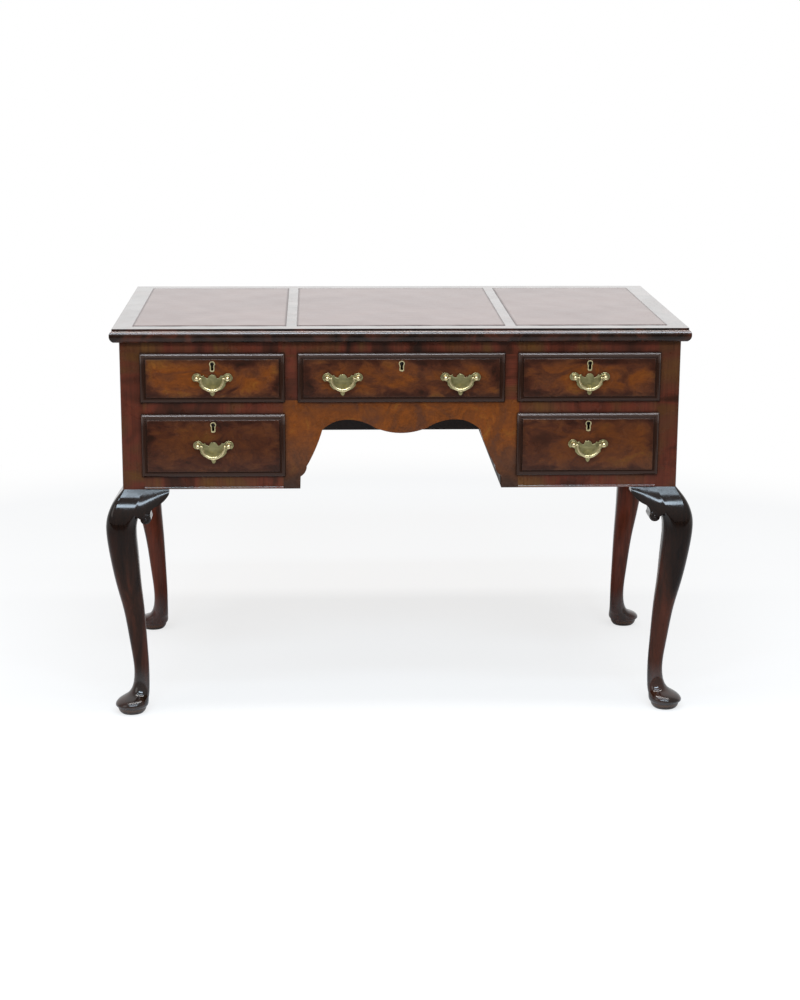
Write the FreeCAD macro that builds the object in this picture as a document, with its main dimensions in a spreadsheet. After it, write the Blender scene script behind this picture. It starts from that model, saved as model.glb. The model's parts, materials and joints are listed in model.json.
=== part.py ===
import FreeCAD, Part
import math
import os

import Sketcher

# Walnut kneehole desk with five lipped drawers on four cabriole legs.
# Millimetres, X to the right, Y to the back, Z up, origin on the floor under the middle of the desk.

Vector = FreeCAD.Vector

# Driving sizes, one cell of the sheet for each
SIZES = {
    # whole desk
    "desk_height": 762,
    "top_width": 1100,
    "top_depth": 608,
    "top_thick": 26,
    "top_overhang": 17,
    # moulded edging round the top: a fillet under the surface, a round nose and a drawn-in underside
    "edging_width": 30,
    "edging_fillet_in": 5,
    "edging_fillet": 4,
    "edging_round": 7,
    "edging_round_bend": 8.5,
    "edging_nose": 4,
    "edging_under_in": 7,
    "edging_under_bend": 14,
    # leather panels in the top
    "leather_margin": 41,
    "leather_band": 20,
    "side_leather_width": 290.5,
    "leather_thick": 1.4,
    "leather_recess": 1.6,
    "leather_gap": 0.3,
    # case
    "post_size": 42,
    "rail_depth": 24,
    "top_rail_height": 25.5,
    "upper_opening": 87.5,
    "middle_rail_height": 29.5,
    "lower_opening": 114.5,
    "bottom_rail_height": 28.5,
    "bead_height": 5,
    "bead_stand": 1.6,
    "centre_opening": 387,
    "divider_width": 32,
    "side_panel_thick": 18,
    "kneehole_side_thick": 18,
    "back_thick": 14,
    "back_inset": 4,
    "tenon_length": 12,
    "tenon_thick": 10,
    "tenon_shoulder": 5,
    "tenon_web": 3,
    "tongue_length": 8,
    "tongue_thick": 8,
    # drawer runners, guides and stops
    "runner_width": 14,
    "guide_rise": 30,
    "stop_width": 22,
    "stop_height": 5,
    "stop_clear": 0.3,
    # legs
    "knee_drop": 73,
    "knee_reach": 33,
    "knee_width": 57.5,
    "ankle_height": 77,
    "ankle_width": 29.5,
    "ankle_inset": 10,
    "toe_height": 19,
    "foot_width": 64,
    "foot_reach": 26,
    "foot_rim_inset": 2.5,
    "pad_height": 13,
    "pad_width": 56,
    "pad_floor_width": 43,
    # knee brackets
    "bracket_reach": 88,
    "bracket_tip": 9,
    "bracket_root": 20,
    "bracket_lap": 4,
    "bracket_depth": 20,
    "scroll_in": 44,
    "scroll_drop": 53,
    "scroll_radius": 10,
    "scroll_stand": 24,
    "scroll_cap": 2.5,
    "scroll_eye": 3.5,
    "bracket_neck_in": 61,
    "bracket_neck_drop": 32,
    "bracket_hollow_bend": 15,
    "bracket_swell_bend": 50,
    # drawers
    "lip_overlap": 4,
    "lip_gap": 0.4,
    "lip_rim": 3,
    "lip_shoulder": 7,
    "lip_field": 9,
    "lip_moulding": 11,
    "lip_bend": 11,
    "drawer_side_clear": 0.6,
    "drawer_top_clear": 1.2,
    "runner_clear": 0.3,
    "front_thick": 20,
    "drawer_back_room": 51,
    "drawer_side_thick": 10,
    "drawer_side_drop": 4,
    "drawer_back_thick": 9,
    "drawer_back_inset": 6,
    "drawer_back_drop": 6,
    "drawer_bottom_thick": 6,
    "drawer_bottom_rise": 7,
    "groove_depth": 5,
    "tail_length": 13,
    "tail_root": 14,
    "tail_end": 20,
    # locks
    "lock_width": 46,
    "lock_height": 32,
    "lock_depth": 9,
    "lock_wall": 2,
    "bolt_width": 20,
    "bolt_thick": 5,
    "bolt_height": 22,
    "bolt_clear": 0.2,
    "bolt_throw": 7,
    "keyhole_drop": 16,
    "keyhole_radius": 3.9,
    "keyhole_slot": 5,
    "keyhole_foot": 11.2,
    "escutcheon_radius": 5.6,
    "escutcheon_waist": 8.4,
    "escutcheon_foot": 13,
    "escutcheon_depth": 3,
    "escutcheon_stand": 0.3,
    "escutcheon_fit": 0.05,
    # handles
    "handle_rise": 1.6,
    "centre_handle_out": 112,
    "plate_width": 77,
    "plate_rise": 8.6,
    "plate_drop": 35,
    "plate_thick": 1.8,
    "post_spread": 58,
    "shank_radius": 2.4,
    "shank_fit": 0.1,
    "collar_radius": 6.2,
    "collar_thick": 2,
    "neck_radius": 2.8,
    "post_stand": 11,
    "head_radius": 4.8,
    "nut_radius": 5.2,
    "nut_thick": 4,
    "shank_tail": 2,
    "pintle_radius": 1.6,
    "pintle_fit": 0.05,
    "pintle_length": 5.5,
    "bail_gap": 0.6,
    "bail_ball_radius": 2.3,
    "bail_drop": 22.5,
    "bail_thin_radius": 1.8,
    "bail_thick_radius": 3.2,
    "knop_radius": 4,
    # one overrun for every cutter
    "overrun": 5,
}

doc = FreeCAD.newDocument("kneehole_desk")
sheet = doc.addObject("Spreadsheet::Sheet", "Sizes")
for row, (alias, number) in enumerate(SIZES.items(), start=1):
    sheet.set(f"A{row}", alias)
    sheet.set(f"B{row}", str(number))
    sheet.setAlias(f"B{row}", alias)
doc.recompute()


class Size:
    """A length that knows its number and the sheet formula that gives it."""

    def __init__(self, number, formula):
        self.number = number
        self.formula = formula

    def joined(self, sign, other, number):
        return Size(number, f"({self.formula} {sign} {formula_of(other)})")

    def __add__(self, other):
        return self.joined("+", other, self.number + float(other))

    def __radd__(self, other):
        return self + other

    def __sub__(self, other):
        return self.joined("-", other, self.number - float(other))

    def __rsub__(self, other):
        return -self + other

    def __mul__(self, other):
        return self.joined("*", other, self.number * float(other))

    def __rmul__(self, other):
        return self * other

    def __truediv__(self, other):
        return self.joined("/", other, self.number / float(other))

    def __neg__(self):
        return Size(-self.number, f"(-1 * {self.formula})")

    def __float__(self):
        return float(self.number)


def formula_of(size):
    return size.formula if isinstance(size, Size) else repr(float(size))


def root(size):
    return Size(math.sqrt(size.number), f"sqrt({size.formula})")


class Sheet:
    """The sheet's cells as sizes: mm.top_width and so on."""

    def __getattr__(self, alias):
        return Size(float(sheet.get(alias)), f"Sizes.{alias}")


mm = Sheet()

# Planes and levels that the pieces share
case_half = mm.top_width / 2 - mm.top_overhang
back = mm.top_depth / 2 - mm.top_overhang
front = -back
post_in = case_half - mm.post_size
centre_half = mm.centre_opening / 2
divider_out = centre_half + mm.divider_width
top_level = mm.desk_height
case_top = top_level - mm.top_thick
upper_high = case_top - mm.top_rail_height
upper_low = upper_high - mm.upper_opening
lower_high = upper_low - mm.middle_rail_height
lower_low = lower_high - mm.lower_opening
case_low = lower_low - mm.bottom_rail_height
rail_back = front + mm.rail_depth
back_front = back - mm.back_inset - mm.back_thick
lip_back = front - mm.lip_gap
field = lip_back - mm.lip_field
block_back = lip_back + mm.front_thick


# Small builders

def box(name, x, y, z):
    """A rectangular piece between three pairs of planes."""
    made = doc.addObject("Part::Box", name)
    for side, axis, (low, high) in zip(("Length", "Width", "Height"), "xyz", (x, y, z)):
        made.setExpression(side, formula_of(high - low))
        made.setExpression(f"Placement.Base.{axis}", formula_of(low))
    return made


def group(name, pieces):
    made = doc.addObject("Part::Compound", name)
    made.Links = pieces
    return made


def fused(name, pieces):
    made = doc.addObject("Part::MultiFuse", name)
    made.Shapes = pieces
    made.Refine = True
    return made


def cut(name, base, tools):
    made = doc.addObject("Part::Cut", name)
    made.Base = base
    made.Tool = tools[0] if len(tools) == 1 else group(f"{name}_cutters", tools)
    return made


def common(name, base, tool):
    made = doc.addObject("Part::Common", name)
    made.Base = base
    made.Tool = tool
    return made


def moved(name, source, x, y, z):
    """A copy of a piece, shifted."""
    made = group(name, [source])
    for axis, shift in zip("xyz", (x, y, z)):
        made.setExpression(f"Placement.Base.{axis}", formula_of(shift))
    return made


ACROSS_X = Vector(1, 0, 0)
ACROSS_Y = Vector(0, 1, 0)


def mirrored(name, source, normal):
    """The piece on the other side of a plane through the origin."""
    made = doc.addObject("Part::Mirroring", name)
    made.Source = source
    made.Normal = normal
    return made


def rod(name, radius, x, y, z, along):
    """A round bar along X or Y: the span along it is a pair, the other two places are its axis."""
    made = doc.addObject("Part::Cylinder", name)
    made.setExpression("Radius", formula_of(radius))
    low, high = {"x": x, "y": y}[along]
    made.setExpression("Height", formula_of(high - low))
    turn = {"x": FreeCAD.Rotation(ACROSS_Y, 90), "y": FreeCAD.Rotation(ACROSS_X, -90)}[along]
    made.Placement = FreeCAD.Placement(Vector(), turn)
    starts = {"x": x, "y": y, "z": z, along: low}
    for axis, start in starts.items():
        made.setExpression(f"Placement.Base.{axis}", formula_of(start))
    return made


def arc_between(start, end, radius):
    """The arc from start to end that turns left with the given radius."""
    chord = end - start
    half = chord.Length / 2
    rise = radius - math.sqrt(max(radius * radius - half * half, 0))
    right = Vector(chord.y, -chord.x, 0).normalize()
    return Part.Arc(start, start + chord / 2 + right * rise, end)


def draw(sketch, corners):
    """Draw a closed outline and bind it to the sheet. A corner is (across, up), or (across, up, bend)
    where the stretch to the next corner is an arc of that radius, turning left where it is positive."""
    points = [Vector(float(corner[0]), float(corner[1]), 0) for corner in corners]
    drawn = []
    for index, corner in enumerate(corners):
        start = points[index]
        end = points[(index + 1) % len(points)]
        if len(corner) == 3 and float(corner[2]) > 0:
            drawn.append(sketch.addGeometry(arc_between(start, end, float(corner[2])), False))
        elif len(corner) == 3:
            drawn.append(sketch.addGeometry(arc_between(end, start, -float(corner[2])), False))
        else:
            drawn.append(sketch.addGeometry(Part.LineSegment(start, end), False))

    def ends(index):
        stored = sketch.Geometry[drawn[index]]
        if (stored.StartPoint - points[index]).Length < (stored.EndPoint - points[index]).Length:
            return 1, 2
        return 2, 1

    rules = []
    formulas = []
    for index, corner in enumerate(corners):
        begin, finish = ends(index)
        following = (index + 1) % len(corners)
        next_begin = ends(following)[0]
        rules.append(Sketcher.Constraint("Coincident", drawn[index], finish, drawn[following], next_begin))
        formulas.append(None)
        rules.append(Sketcher.Constraint("DistanceX", -1, 1, drawn[index], begin, points[index].x))
        formulas.append(formula_of(corner[0]))
        rules.append(Sketcher.Constraint("DistanceY", -1, 1, drawn[index], begin, points[index].y))
        formulas.append(formula_of(corner[1]))
        if len(corner) == 3:
            bend = corner[2] if float(corner[2]) > 0 else -corner[2]
            rules.append(Sketcher.Constraint("Radius", drawn[index], float(bend)))
            formulas.append(formula_of(bend))
    for number, formula in zip(sketch.addConstraint(rules), formulas):
        if formula:
            sketch.setExpression(f"Constraints[{number}]", formula)


def origin_feature(body, role):
    return next(feature for feature in body.Origin.OriginFeatures if feature.Role == role)


def new_sketch(body, plane, outlines):
    sketch = body.newObject("Sketcher::SketchObject", f"{body.Name}_outline")
    sketch.AttachmentSupport = [(origin_feature(body, f"{plane}_Plane"), "")]
    sketch.MapMode = "FlatFace"
    for corners in outlines:
        draw(sketch, corners)
    return sketch


def padded(name, plane, low, high, *outlines):
    """A body padded between two planes from outlines drawn square to them."""
    body = doc.addObject("PartDesign::Body", name)
    sketch = new_sketch(body, plane, outlines)
    base = -high if plane == "XZ" else low
    sketch.setExpression("AttachmentOffset.Base.z", formula_of(base))
    pad = body.newObject("PartDesign::Pad", f"{name}_pad")
    pad.Profile = sketch
    pad.setExpression("Length", formula_of(high - low))
    return body


def turned(name, *outlines):
    """A body turned round its own Y axis from a half outline drawn as (radius, along)."""
    body = doc.addObject("PartDesign::Body", name)
    sketch = new_sketch(body, "XY", outlines)
    spin = body.newObject("PartDesign::Revolution", f"{name}_spin")
    spin.Profile = sketch
    spin.ReferenceAxis = (sketch, ["V_Axis"])
    spin.Angle = 360
    return body


def solid_feature(name, shape):
    made = doc.addObject("Part::Feature", name)
    made.Shape = shape
    return made


nodes = []


def node(name, piece):
    """Name a finished sub-part: its label is its file's name."""
    piece.Label = name
    nodes.append(piece)
    return piece


def both_sides(name, left):
    """A group of a left-hand piece and its mirror image."""
    return group(name, [left, mirrored(f"{name}_right_hand", left, ACROSS_X)])


# Top: board with leather recesses, mitred edging, leather

def edging_profile(nose):
    """Section of the edging, with its nose at the given place and its body behind it."""
    return [
        (nose + mm.edging_width, case_top),
        (nose + mm.edging_under_in, case_top, -mm.edging_under_bend),
        (nose, top_level - mm.edging_fillet - mm.edging_round - mm.edging_nose),
        (nose, top_level - mm.edging_fillet - mm.edging_round, -mm.edging_round_bend),
        (nose + mm.edging_fillet_in, top_level - mm.edging_fillet),
        (nose + mm.edging_fillet_in, top_level),
        (nose + mm.edging_width, top_level),
    ]


def make_edging():
    half_x = mm.top_width / 2
    half_y = mm.top_depth / 2
    inner_x = half_x - mm.edging_width
    inner_y = half_y - mm.edging_width
    front_run = padded("edging_front_run", "YZ", -half_x, half_x, edging_profile(-half_y))
    front_plan = [(-half_x, -half_y), (half_x, -half_y), (inner_x, -inner_y), (-inner_x, -inner_y)]
    front_mitre = padded("edging_front_mitre", "XY", case_top, top_level, front_plan)
    front_length = common("edging_front", front_run, front_mitre)
    side_run = padded("edging_side_run", "XZ", -half_y, half_y, edging_profile(-half_x))
    side_plan = [(-half_x, half_y), (-half_x, -half_y), (-inner_x, -inner_y), (-inner_x, inner_y)]
    side_mitre = padded("edging_side_mitre", "XY", case_top, top_level, side_plan)
    side_length = common("edging_side", side_run, side_mitre)
    back_length = mirrored("edging_back", front_length, ACROSS_Y)
    other_side = mirrored("edging_other_side", side_length, ACROSS_X)
    node("top_edging", group("edging", [front_length, back_length, side_length, other_side]))


def make_top():
    half_x = mm.top_width / 2 - mm.edging_width
    half_y = mm.top_depth / 2 - mm.edging_width
    leather_x = mm.top_width / 2 - mm.leather_margin
    leather_y = mm.top_depth / 2 - mm.leather_margin
    centre_x = leather_x - mm.side_leather_width - mm.leather_band
    spans = {
        "left": (-leather_x, -leather_x + mm.side_leather_width),
        "centre": (-centre_x, centre_x),
        "right": (leather_x - mm.side_leather_width, leather_x),
    }
    floor = top_level - mm.leather_recess
    gap = mm.leather_gap
    recesses = []
    for side, (low, high) in spans.items():
        panel = box(
            f"leather_{side}_sheet", (low, high), (-leather_y, leather_y), (floor, floor + mm.leather_thick)
        )
        node(f"leather_{side}", panel)
        recesses.append(box(
            f"leather_{side}_recess",
            (low - gap, high + gap),
            (-leather_y - gap, leather_y + gap),
            (floor, top_level + mm.overrun),
        ))
    blank = box("top_blank", (-half_x, half_x), (-half_y, half_y), (case_top, top_level))
    node("top_board", cut("top", blank, recesses))


# Case: rails and dividers with tenons, shaped apron, panels with tongues

tenon_front = front + (mm.rail_depth - mm.tenon_thick) / 2
tenon_y = (tenon_front, tenon_front + mm.tenon_thick)


def end_tenon(name, start, reach, low, high):
    """A tenon on the end of a rail, from start out to start + reach along X."""
    ends = (start, start + reach) if float(reach) > 0 else (start + reach, start)
    return box(name, ends, tenon_y, (low + mm.tenon_shoulder, high - mm.tenon_shoulder))


def upright_tenon(name, start, reach):
    """A tenon on the left divider, from start up or down by reach. It stands clear of the rail tenon that
    comes into the apron from the side."""
    ends = (start, start + reach) if float(reach) > 0 else (start + reach, start)
    x = (-divider_out + mm.tenon_length + mm.tenon_web, -centre_half - mm.tenon_shoulder)
    return box(name, x, tenon_y, ends)


into_post = (-post_in, -mm.tenon_length)
into_apron = (-divider_out, mm.tenon_length)
top_rail_tenon = end_tenon("top_rail_tenon", *into_post, upper_high, case_top)
middle_rail_post_tenon = end_tenon("middle_rail_post_tenon", *into_post, lower_high, upper_low)
middle_rail_apron_tenon = end_tenon("middle_rail_apron_tenon", *into_apron, lower_high, upper_low)
bottom_rail_post_tenon = end_tenon("bottom_rail_post_tenon", *into_post, case_low, lower_low)
bottom_rail_apron_tenon = end_tenon("bottom_rail_apron_tenon", *into_apron, case_low, lower_low)
divider_top_tenon = upright_tenon("divider_top_tenon", upper_high, mm.tenon_length)
divider_foot_tenon = upright_tenon("divider_foot_tenon", upper_low, -mm.tenon_length)


def bolt_span(clear):
    """Front and back planes of a lock bolt, widened by a clearance."""
    start = block_back - mm.lock_depth + mm.lock_wall + mm.bolt_clear
    return start - clear, start + mm.bolt_thick + clear


def bolt_socket(name, middle, rail_low):
    """The slot in the underside of a rail that a lock bolt rises into, as deep as the bolt's throw."""
    half = mm.bolt_width / 2 + mm.bolt_clear
    return box(
        name,
        (middle - half, middle + half),
        bolt_span(mm.bolt_clear),
        (rail_low - mm.overrun, rail_low + mm.bolt_throw),
    )


side_drawer_middle = (post_in + divider_out) / 2


def make_rails():
    bar = box("top_rail_bar", (-post_in, post_in), (front, rail_back), (upper_high, case_top))
    other_tenon = mirrored("top_rail_other_tenon", top_rail_tenon, ACROSS_X)
    sockets = [bolt_socket("bolt_socket_upper_centre", 0, upper_high)]
    side_socket = bolt_socket("bolt_socket_upper_side", -side_drawer_middle, upper_high)
    sockets.append(both_sides("bolt_sockets_upper", side_socket))
    mortises = both_sides("divider_top_mortises", divider_top_tenon)
    whole = fused("top_rail_blank", [bar, top_rail_tenon, other_tenon])
    node("top_rail", cut("top_rail_cut", whole, sockets + [mortises]))

    middle_bar = box("middle_rail_bar", (-post_in, -divider_out), (front, rail_back), (lower_high, upper_low))
    middle = fused("middle_rail_blank", [middle_bar, middle_rail_post_tenon, middle_rail_apron_tenon])
    lower_socket = bolt_socket("bolt_socket_lower", -side_drawer_middle, lower_high)
    middle_rails = both_sides("middle_rails", cut("middle_rail", middle, [lower_socket]))

    # the bottom rail's section has a small bead along its lower edge
    half_bead = mm.bead_height / 2
    bead_bend = (half_bead * half_bead + mm.bead_stand * mm.bead_stand) / (2 * mm.bead_stand)
    section = [
        (front, case_low + mm.bead_height, bead_bend),
        (front, case_low),
        (rail_back, case_low),
        (rail_back, lower_low),
        (front, lower_low),
    ]
    bottom_bar = padded("bottom_rail_bar", "YZ", -post_in, -divider_out, section)
    bottom = fused("bottom_rail", [bottom_bar, bottom_rail_post_tenon, bottom_rail_apron_tenon])
    bottom_rails = both_sides("bottom_rails", bottom)
    node("drawer_rails", group("rails", [middle_rails, bottom_rails]))

    upright = box("divider_bar", (-divider_out, -centre_half), (front, rail_back), (upper_low, upper_high))
    divider = fused("divider", [upright, divider_top_tenon, divider_foot_tenon])
    node("drawer_dividers", both_sides("dividers", divider))


# Half outline of the kneehole arch, from the wing's foot to the middle: share of the half opening
# outwards, share of the apron's depth upwards, and the bend of the stretch that follows as a share of
# the half opening, positive where the outline turns left on its way from left to right
ARCH_SHARES = (
    (1.0, 0.0, 0.0),
    (1.0, 0.136, 0.12),
    (0.935, 0.255, 1.62),
    (0.780, 0.664, -0.336),
    (0.532, 0.780, -0.495),
    (0.258, 0.687, 0.64),
)


def make_apron():
    depth = upper_low - case_low

    def arch_corner(out_share, up_share, bend_share, side):
        place = (centre_half * out_share * side, case_low + depth * up_share)
        return place + ((centre_half * bend_share,) if bend_share else ())

    left = [arch_corner(*shares, -1) for shares in ARCH_SHARES]
    ends = [(out, up) for out, up, _ in reversed(ARCH_SHARES)]
    bends = [bend for _, _, bend in reversed(ARCH_SHARES)][1:] + [0.0]
    right = [arch_corner(out, up, bend, 1) for (out, up), bend in zip(ends, bends)]
    outer = [
        (divider_out, case_low), (divider_out, upper_low), (-divider_out, upper_low), (-divider_out, case_low)
    ]
    board = padded("apron_board", "XZ", front, rail_back, left + right + outer)
    mortises = [middle_rail_apron_tenon, bottom_rail_apron_tenon, divider_foot_tenon]
    one_side = group("apron_mortises_left", mortises)
    node("apron", cut("apron_cut", board, [both_sides("apron_mortises", one_side)]))


def make_panels():
    z = (case_low, case_top)
    tongue_z = (case_low + mm.tenon_shoulder, case_top)
    panel_y = (front + mm.post_size, back - mm.post_size)
    tongue_x = -case_half + (mm.side_panel_thick - mm.tongue_thick) / 2
    panel = box("side_panel_board", (-case_half, -case_half + mm.side_panel_thick), panel_y, z)
    tongue = box(
        "side_panel_tongue",
        (tongue_x, tongue_x + mm.tongue_thick),
        (panel_y[0] - mm.tongue_length, panel_y[1] + mm.tongue_length),
        tongue_z,
    )
    node("side_panels", both_sides("sides", fused("side_panel", [panel, tongue])))

    board = box("back_board", (-post_in, post_in), (back_front, back - mm.back_inset), z)
    back_tongue_y = back_front + (mm.back_thick - mm.tongue_thick) / 2
    back_tongue = box(
        "back_tongue",
        (-post_in - mm.tongue_length, post_in + mm.tongue_length),
        (back_tongue_y, back_tongue_y + mm.tongue_thick),
        tongue_z,
    )
    node("back_panel", fused("back_and_tongues", [board, back_tongue]))

    inner_x = (-centre_half - mm.kneehole_side_thick, -centre_half)
    inner = box("kneehole_side", inner_x, (rail_back, back_front), z)
    node("kneehole_sides", both_sides("kneehole_pair", inner))
    return tongue, back_tongue


def make_runners():
    strip_y = (rail_back, back_front)
    post_y = (front + mm.post_size, back - mm.post_size)
    inner_face = -centre_half - mm.kneehole_side_thick
    outer_face = -case_half + mm.side_panel_thick
    runner_x = {
        "outer": (-post_in, -post_in + mm.runner_width),
        "inner": (-divider_out - mm.runner_width, -divider_out),
        "centre": (-centre_half, -centre_half + mm.runner_width),
    }
    levels = {"lower": (case_low, lower_low), "upper": (lower_high, upper_low)}
    left = []
    for place, x in runner_x.items():
        left.append(box(f"kicker_{place}", x, strip_y, (upper_high, case_top)))
        for level, z in levels.items():
            if place != "centre" or level == "upper":
                left.append(box(f"runner_{level}_{place}", x, strip_y, z))
    for level, (low, high) in levels.items():
        z = (low, high + mm.guide_rise)
        left.append(box(f"guide_{level}_outer", (outer_face, -post_in), post_y, z))
        left.append(box(f"guide_{level}_inner", (-divider_out, inner_face), strip_y, z))
    node("drawer_runners", both_sides("runners", group("runners_left", left)))

    stop_y = (block_back + mm.stop_clear, rail_back)
    half_stop = mm.stop_width / 2
    quarter = (post_in - divider_out) / 4
    stop_places = {
        "lower_outer": (-side_drawer_middle - quarter, lower_low),
        "lower_inner": (-side_drawer_middle + quarter, lower_low),
        "upper_outer": (-side_drawer_middle - quarter, upper_low),
        "upper_inner": (-side_drawer_middle + quarter, upper_low),
        "upper_centre": (-centre_half / 2, upper_low),
    }
    stops = []
    for place, (middle, level) in stop_places.items():
        z = (level, level + mm.stop_height)
        stops.append(box(f"stop_{place}", (middle - half_stop, middle + half_stop), stop_y, z))
    node("drawer_stops", both_sides("stops", group("stops_left", stops)))


# Legs: square post above, cabriole below, pad foot

# Knee: share of the drop from the case to the knee, share of the knee's reach
KNEE_SHARES = ((0.0, 0.0), (0.13, 0.25), (0.32, 0.57), (0.62, 0.87), (1.0, 1.0))
# Shank: share of the height from ankle to knee, share of the spread from ankle to knee
SHANK_SHARES = (
    (0.865, 0.925), (0.673, 0.72), (0.522, 0.50), (0.404, 0.335), (0.229, 0.165), (0.098, 0.045), (0.0, 0.0)
)
# Foot: share of the drop from the ankle to the toe, share of the spread from ankle to toe
FOOT_SHARES = ((0.42, 0.07), (0.66, 0.25), (0.78, 0.52), (0.90, 0.88), (1.0, 1.0))
# Corner radius as a share of the width: at the case, at the knee, and round from the ankle down
POST_CORNER_SHARE = 0.08
KNEE_CORNER_SHARE = 0.36
ROUND_CORNER_SHARE = 0.49
# Where the pad's edge bulges: share of the way out to its full width, share of its height
PAD_BULGE_SHARES = (0.72, 0.42)


def between(start, end, share):
    return start + (end - start) * share


def leg_stations():
    """Level sections of the left front leg from the case down: height, how far the outer sides stand
    beyond the case, width, and corner radius as a share of the width."""
    low = float(case_low)
    post, reach = float(mm.post_size), float(mm.knee_reach)
    knee_level = low - float(mm.knee_drop)
    knee_width, ankle_width = float(mm.knee_width), float(mm.ankle_width)
    ankle_level, ankle_out = float(mm.ankle_height), -float(mm.ankle_inset)
    toe_level, toe_out, foot_width = float(mm.toe_height), float(mm.foot_reach), float(mm.foot_width)
    rim = float(mm.foot_rim_inset)
    stations = []
    for drop, spread in KNEE_SHARES:
        inner = between(post, knee_width - reach, drop)
        corner = between(POST_CORNER_SHARE, KNEE_CORNER_SHARE, drop)
        stations.append((between(low, knee_level, drop), reach * spread, reach * spread + inner, corner))
    for rise, spread in SHANK_SHARES:
        stations.append((
            between(ankle_level, knee_level, rise),
            between(ankle_out, reach, spread),
            between(ankle_width, knee_width, spread),
            between(ROUND_CORNER_SHARE, KNEE_CORNER_SHARE, rise),
        ))
    for drop, spread in FOOT_SHARES:
        stations.append((
            between(ankle_level, toe_level, drop),
            between(ankle_out, toe_out, spread),
            between(ankle_width, foot_width, spread),
            ROUND_CORNER_SHARE,
        ))
    stations.append((float(mm.pad_height), toe_out - rim, foot_width - rim - rim, ROUND_CORNER_SHARE))
    return stations


def leg_section(height, out, width, corner_share):
    """A level square with rounded corners, standing out from the left front corner of the case."""
    middle = Vector(-float(case_half) - out + width / 2, float(front) - out + width / 2, height)
    radius = width * corner_share
    hub_out = (width / 2 - radius) * math.sqrt(2)
    arcs = []
    for quarter in range(4):
        turns = [math.pi / 4 * (2 * quarter + eighth) for eighth in range(3)]
        hub = middle + Vector(math.cos(turns[1]), math.sin(turns[1]), 0) * hub_out
        arcs.append([hub + Vector(math.cos(turn), math.sin(turn), 0) * radius for turn in turns])
    edges = []
    for index, arc in enumerate(arcs):
        edges.append(Part.Arc(*arc).toShape())
        edges.append(Part.makeLine(arc[2], arcs[(index + 1) % 4][0]))
    return Part.Wire(edges)


def leg_shape():
    low, size = float(case_low), float(mm.post_size)
    corner = Vector(-float(case_half), float(front), low)
    post = Part.makeBox(size, size, float(case_top) - low, corner)
    outer_edge = min(post.Edges, key=lambda edge: edge.CenterOfMass.x + edge.CenterOfMass.y)
    post = post.makeFillet(size * POST_CORNER_SHARE, [outer_edge])
    cabriole = Part.makeLoft([leg_section(*station) for station in leg_stations()], True, False)
    pad_radius, floor_radius = float(mm.pad_width) / 2, float(mm.pad_floor_width) / 2
    pad_height = float(mm.pad_height)
    bulge_out_share, bulge_up_share = PAD_BULGE_SHARES
    outline = [
        Part.makeLine(Vector(0, 0, pad_height), Vector()),
        Part.makeLine(Vector(), Vector(floor_radius, 0, 0)),
        Part.Arc(
            Vector(floor_radius, 0, 0),
            Vector(between(floor_radius, pad_radius, bulge_out_share), 0, pad_height * bulge_up_share),
            Vector(pad_radius, 0, pad_height),
        ).toShape(),
        Part.makeLine(Vector(pad_radius, 0, pad_height), Vector(0, 0, pad_height)),
    ]
    pad = Part.Face(Part.Wire(outline)).revolve(Vector(), Vector(0, 0, 1), 360)
    foot_in = float(mm.foot_width) / 2 - float(mm.foot_reach)
    pad.translate(Vector(-float(case_half) + foot_in, float(front) + foot_in, 0))
    return post.fuse([cabriole, pad]).removeSplitter()


def make_legs(side_tongue, back_tongue):
    blank = solid_feature("leg_blank", leg_shape())
    rails = [top_rail_tenon, middle_rail_post_tenon, bottom_rail_post_tenon]
    front_leg = node("leg_front_left", cut("front_leg", blank, rails + [side_tongue]))
    rear_blank = mirrored("rear_leg_blank", blank, ACROSS_Y)
    rear_leg = node("leg_rear_left", cut("rear_leg", rear_blank, [side_tongue, back_tongue]))
    node("leg_front_right", mirrored("front_leg_right", front_leg, ACROSS_X))
    node("leg_rear_right", mirrored("rear_leg_right", rear_leg, ACROSS_X))
    return blank


# Knee brackets: the knee's swell carried along the rail and dying away to the tip

# How much of the knee's swell is left, in even steps from the leg to the tip
SWELL_SHARES = (0.96, 0.86, 0.60, 0.33, 0.12)


def bracket_swell():
    """A solid that carries the knee's face along the front: full at the leg, and less, both in reach and
    in drop, towards the tip."""
    reach, drop = float(mm.knee_reach), float(mm.knee_drop)
    root_in, tip_in = float(mm.bracket_root - mm.overrun), float(mm.bracket_reach + mm.overrun)
    back_y = float(front) + float(mm.bracket_depth)
    top = float(case_low)
    slices = []
    for index, swell in enumerate(SWELL_SHARES):
        x = -float(case_half) + between(root_in, tip_in, index / (len(SWELL_SHARES) - 1))
        shrunk = [(reach * swell * out, drop * swell * down) for down, out in KNEE_SHARES]
        face = [Vector(x, float(front) - out, top - down) for out, down in shrunk]
        curve = Part.BSplineCurve()
        curve.interpolate(face)
        under = [Vector(x, y, top - drop) for y in (face[-1].y, back_y)]
        corners = [face[-1], *under, Vector(x, back_y, top), face[0]]
        edges = [Part.makeLine(start, end) for start, end in zip(corners, corners[1:])]
        slices.append(Part.Wire([curve.toShape()] + edges))
    return Part.makeLoft(slices, True, False)


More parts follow.
